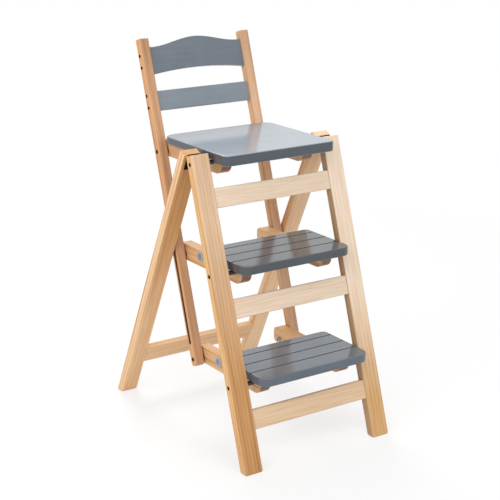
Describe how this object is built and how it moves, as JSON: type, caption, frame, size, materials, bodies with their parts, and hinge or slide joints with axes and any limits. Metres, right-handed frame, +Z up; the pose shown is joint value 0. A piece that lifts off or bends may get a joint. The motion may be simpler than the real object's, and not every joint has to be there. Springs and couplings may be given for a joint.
{
  "type": "folding step stool",
  "caption": "Folding wooden ladder chair: a seat with a two-rail backrest above grooved steps, hung between leaning legs so that treads, back and rear legs fold together.",
  "frame": {"origin": "on the floor, under the middle of the overall box", "axes": "X across the width, Y from the front of the steps to the rear legs, Z up"},
  "size_m": [0.42, 0.618, 0.9311],
  "materials": {
    "pine": "clear lacquer",
    "grey_paint": "grey satin paint",
    "beech": "plain, glued in",
    "dark_steel": "bronzed, dull",
    "zinc_steel": "zinc plated",
    "nylon": "moulded, dull",
    "pad_rubber": "smooth grey"
  },
  "bodies": {
    "front_frame": {"front_leg_left": "pine", "front_leg_right": "pine", "front_rail_upper": "pine", "front_rail_middle": "pine", "front_rail_lower": "pine", "front_rail_dowels": "beech", "front_pivot_bolts": "dark_steel", "front_pivot_spacers": "nylon", "front_pivot_nuts": "zinc_steel", "hinge_front_leaves": "zinc_steel", "hinge_pins": "zinc_steel", "hinge_front_screws": "zinc_steel"},
    "rear_frame": {"rear_leg_left": "pine", "rear_leg_right": "pine", "rear_rail": "pine", "rear_rail_dowels": "beech", "guide_pins": "zinc_steel", "hinge_rear_leaves": "zinc_steel", "hinge_rear_screws": "zinc_steel"},
    "seat": {"seat_board": "grey_paint", "seat_rail_left": "pine", "seat_rail_right": "pine", "seat_screws": "zinc_steel"},
    "upper_step": {"upper_step_board": "grey_paint", "upper_step_rail_left": "pine", "upper_step_rail_right": "pine", "upper_step_screws": "zinc_steel", "upper_step_pads": "pad_rubber"},
    "lower_step": {"lower_step_board": "grey_paint", "lower_step_rail_left": "pine", "lower_step_rail_right": "pine", "lower_step_screws": "zinc_steel", "lower_step_pads": "pad_rubber"},
    "backrest": {"back_post_left": "pine", "back_post_right": "pine", "crest_rail": "grey_paint", "lower_back_rail": "grey_paint", "back_rail_screws": "dark_steel", "rear_pivot_bolts": "dark_steel", "rear_pivot_nuts": "zinc_steel", "mid_pivot_bolts": "dark_steel", "mid_pivot_inserts": "zinc_steel", "rear_pivot_washers": "nylon"}
  },
  "joints": [
    {"name": "fold", "type": "hinge", "parent": "front_frame", "child": "seat", "pos_m": [0, -0.07897, 0.6845], "axis": [1, 0, 0], "range_deg": [0, 47]},
    {"name": "upper_step_pivot", "type": "hinge", "parent": "front_frame", "child": "upper_step", "pos_m": [0, -0.15748, 0.4385], "axis": [1, 0, 0], "range_deg": [0, 47]},
    {"name": "lower_step_pivot", "type": "hinge", "parent": "front_frame", "child": "lower_step", "pos_m": [0, -0.23599, 0.1925], "axis": [1, 0, 0], "range_deg": [0, 47]},
    {"name": "back_pivot", "type": "hinge", "parent": "seat", "child": "backrest", "pos_m": [0, 0.16103, 0.6645], "axis": [1, 0, 0], "range_deg": [-47, 0]},
    {"name": "leg_hinge", "type": "hinge", "parent": "front_frame", "child": "rear_frame", "pos_m": [0, -0.05849, 0.701], "axis": [1, 0, 0], "range_deg": [-25.87, 0]}
  ],
  "couplings": [
    {"joint": "upper_step_pivot", "follows": "fold", "ratio": 1},
    {"joint": "lower_step_pivot", "follows": "fold", "ratio": 1},
    {"joint": "back_pivot", "follows": "fold", "ratio": -1},
    {"joint": "leg_hinge", "follows": "fold", "ratio": -0.5504}
  ]
}
